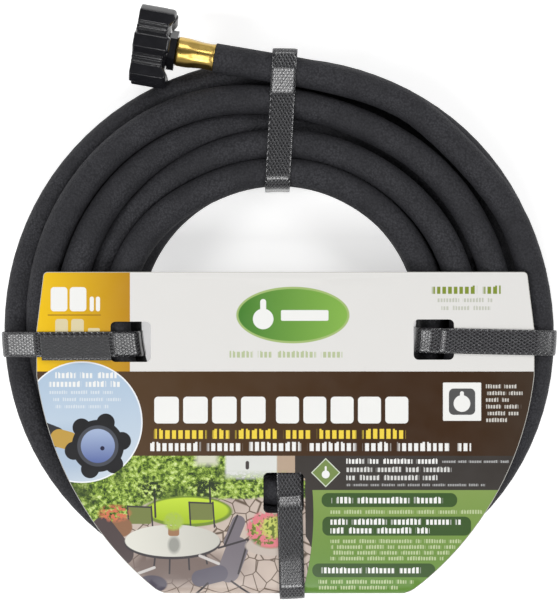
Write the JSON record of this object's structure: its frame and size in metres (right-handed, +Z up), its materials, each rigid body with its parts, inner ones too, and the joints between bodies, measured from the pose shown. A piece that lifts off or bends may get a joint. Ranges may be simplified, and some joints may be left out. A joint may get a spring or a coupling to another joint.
{
  "type": "soaker hose",
  "caption": "Porous rubber soaker hose coiled flat, tied by bands to a display card, with a swivel inlet coupling and a capped outlet.",
  "frame": {"origin": "on the axis of the coil's eye, level with the undersides of the straps", "axes": "+Z up through the eye, on the card's side; +Y towards the inlet coupling's side; +X to the right as the card is read"},
  "size_m": [0.2812, 0.3033, 0.058],
  "materials": {
    "porous_rubber": "matte, pebbled porous surface",
    "black_plastic": "semi-gloss moulded plastic",
    "brass": "polished, crimped",
    "restrictor_blue": "satin soft plastic",
    "cap_plastic": "satin moulded plastic",
    "washer_rubber": "smooth rubber",
    "strap_grey": "satin strapping, embossed diamonds",
    "printed_card": "gloss-coated printed card"
  },
  "bodies": {
    "hose": {"hose_coil": "porous_rubber", "hose_inlet_tail": "porous_rubber", "hose_outlet_tail": "porous_rubber", "inlet_stem": "black_plastic", "inlet_ferrule": "brass", "outlet_stem": "black_plastic", "outlet_ferrule": "brass", "strap_top": "strap_grey", "strap_left": "strap_grey", "strap_right": "strap_grey", "strap_bottom": "strap_grey", "display_card": "printed_card"},
    "inlet_nut": {"inlet_nut": "black_plastic", "flow_restrictor": "restrictor_blue"},
    "cap_washer": {"cap_washer": "washer_rubber"},
    "end_cap": {"end_cap": "cap_plastic"}
  },
  "joints": [
    {"name": "nut_swivel", "type": "hinge", "parent": "hose", "child": "inlet_nut", "pos_m": [-0.06421, 0.14116, 0.037], "axis": [-0.9848, 0.1736, 0], "continuous": true},
    {"name": "cap_travel", "type": "slide", "parent": "hose", "child": "cap_washer", "axis": [-0.5736, 0.8192, 0], "range_m": [0, 0.0078]},
    {"name": "cap_turn", "type": "hinge", "parent": "cap_washer", "child": "end_cap", "pos_m": [-0.04435, 0.00381, 0.017], "axis": [-0.5736, 0.8192, 0], "range_deg": [0, 1260]}
  ],
  "couplings": [
    {"joint": "cap_travel", "follows": "cap_turn", "m_per_rad": 0.00035153}
  ]
}
